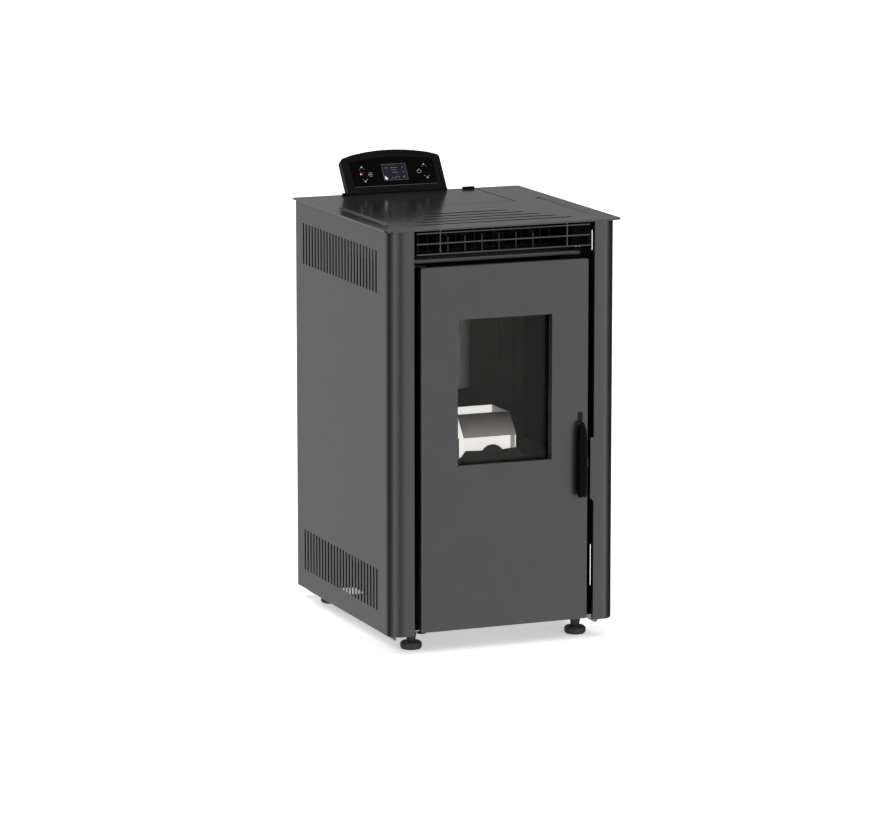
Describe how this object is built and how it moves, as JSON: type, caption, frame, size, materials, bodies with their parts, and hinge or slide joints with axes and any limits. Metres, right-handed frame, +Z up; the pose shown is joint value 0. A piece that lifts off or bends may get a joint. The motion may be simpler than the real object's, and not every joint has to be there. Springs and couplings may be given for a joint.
{
  "type": "pellet stove",
  "caption": "Free-standing steel pellet stove with a glazed fire door, top hopper lid, auger feed, ash drawer, fans and a leaning control console.",
  "frame": {"origin": "centre of the footprint, on the floor under the feet", "axes": "+Z up, +X to the right of someone facing the fire door, +Y towards the back"},
  "size_m": [0.474, 0.596, 0.8777],
  "materials": {
    "powder_coat": "fine satin anthracite powder coat",
    "black_coat": "matt black heat-resistant paint",
    "galvanised_steel": "dull galvanised sheet",
    "cast_iron": "dark sand-cast iron",
    "bare_steel": "bare stainless steel",
    "black_plastic": "black moulded plastic",
    "circuit_board": "green solder resist",
    "display_glass": "dark display window",
    "ceramic_glass": "clear heat-resistant glass",
    "seal_rubber": "closed-cell silicone seal",
    "seal_rope": "braided glass-fibre rope"
  },
  "bodies": {
    "cabinet": {"right_side_panel": "powder_coat", "left_side_panel": "powder_coat", "rear_cover": "powder_coat", "top_plate": "powder_coat", "right_front_column": "powder_coat", "left_front_column": "powder_coat", "air_outlet_grille": "powder_coat", "heat_exchanger": "black_coat", "front_frame": "black_coat", "warm_air_duct": "black_coat", "lower_hinge_bracket": "black_coat", "upper_hinge_bracket": "black_coat", "firebox_shell": "black_coat", "pellet_chute": "black_coat", "base_plate": "galvanised_steel", "firebox_stand": "galvanised_steel", "hopper": "galvanised_steel", "hopper_rim": "galvanised_steel", "hopper_grate": "galvanised_steel", "auger_tube": "galvanised_steel", "exhaust_duct": "galvanised_steel", "exhaust_blower": "galvanised_steel", "flue_spigot": "galvanised_steel", "air_intake_pipe": "galvanised_steel", "room_fan_housing": "galvanised_steel", "firebox_liner": "cast_iron", "burn_pot_cradle": "cast_iron", "auger_gearmotor": "cast_iron", "igniter": "bare_steel", "exhaust_motor": "black_plastic", "room_fan_motor": "black_plastic", "mains_inlet": "black_plastic", "thermostat_cap": "black_plastic", "console_housing": "black_plastic", "console_fascia": "black_plastic", "control_board": "circuit_board", "console_display": "display_glass", "lid_gasket": "seal_rubber"},
    "door": {"door_panel": "powder_coat", "door_frame": "cast_iron", "door_glass": "ceramic_glass", "glass_retainer": "bare_steel", "door_seal": "seal_rope", "lower_hinge_pin": "bare_steel", "upper_hinge_pin": "bare_steel", "door_catch": "bare_steel", "handle_mount": "black_coat", "handle_pin": "bare_steel"},
    "handle": {"door_handle": "black_plastic"},
    "lid": {"hopper_lid": "powder_coat"},
    "pot": {"burn_pot": "bare_steel"},
    "drawer": {"ash_drawer": "galvanised_steel"},
    "auger": {"auger_screw": "bare_steel"},
    "exhaust_fan": {"exhaust_impeller": "bare_steel"},
    "room_fan": {"room_fan_wheel": "galvanised_steel"},
    "switch": {"power_switch": "black_plastic"},
    "foot_front_left": {"foot_front_left": "black_plastic"},
    "foot_front_right": {"foot_front_right": "black_plastic"},
    "foot_rear_left": {"foot_rear_left": "black_plastic"},
    "foot_rear_right": {"foot_rear_right": "black_plastic"}
  },
  "joints": [
    {"name": "door_hinge", "type": "hinge", "parent": "cabinet", "child": "door", "pos_m": [-0.163, -0.266, 0.38], "axis": [0, 0, -1], "range_deg": [0, 110]},
    {"name": "handle_pivot", "type": "hinge", "parent": "door", "child": "handle", "pos_m": [0.1523, -0.2843, 0.416], "axis": [-1, 0, 0], "range_deg": [0, 35]},
    {"name": "lid_hinge", "type": "hinge", "parent": "cabinet", "child": "lid", "pos_m": [0, 0.2046, 0.8026], "axis": [-1, 0, 0], "range_deg": [0, 80]},
    {"name": "pot_lift", "type": "slide", "parent": "cabinet", "child": "pot", "axis": [0, 0, 1], "range_m": [0, 0.025]},
    {"name": "drawer_slide", "type": "slide", "parent": "cabinet", "child": "drawer", "axis": [0, -1, 0], "range_m": [0, 0.025]},
    {"name": "auger_turn", "type": "hinge", "parent": "cabinet", "child": "auger", "pos_m": [0, -0.006, 0.628], "axis": [0, 0.7431, -0.6691], "continuous": true},
    {"name": "exhaust_fan_turn", "type": "hinge", "parent": "cabinet", "child": "exhaust_fan", "pos_m": [0.096, 0.118, 0.172], "axis": [1, 0, 0], "continuous": true},
    {"name": "room_fan_turn", "type": "hinge", "parent": "cabinet", "child": "room_fan", "pos_m": [-0.113, 0.088, 0.15], "axis": [1, 0, 0], "continuous": true},
    {"name": "switch_rock", "type": "hinge", "parent": "cabinet", "child": "switch", "pos_m": [-0.119, 0.2118, 0.119], "axis": [-1, 0, 0], "range_deg": [0, 12]},
    {"name": "foot_front_left_thread", "type": "slide", "parent": "cabinet", "child": "foot_front_left", "axis": [0, 0, -1], "range_m": [0, 0.012]},
    {"name": "foot_front_right_thread", "type": "slide", "parent": "cabinet", "child": "foot_front_right", "axis": [0, 0, -1], "range_m": [0, 0.012]},
    {"name": "foot_rear_left_thread", "type": "slide", "parent": "cabinet", "child": "foot_rear_left", "axis": [0, 0, -1], "range_m": [0, 0.012]},
    {"name": "foot_rear_right_thread", "type": "slide", "parent": "cabinet", "child": "foot_rear_right", "axis": [0, 0, -1], "range_m": [0, 0.012]}
  ]
}
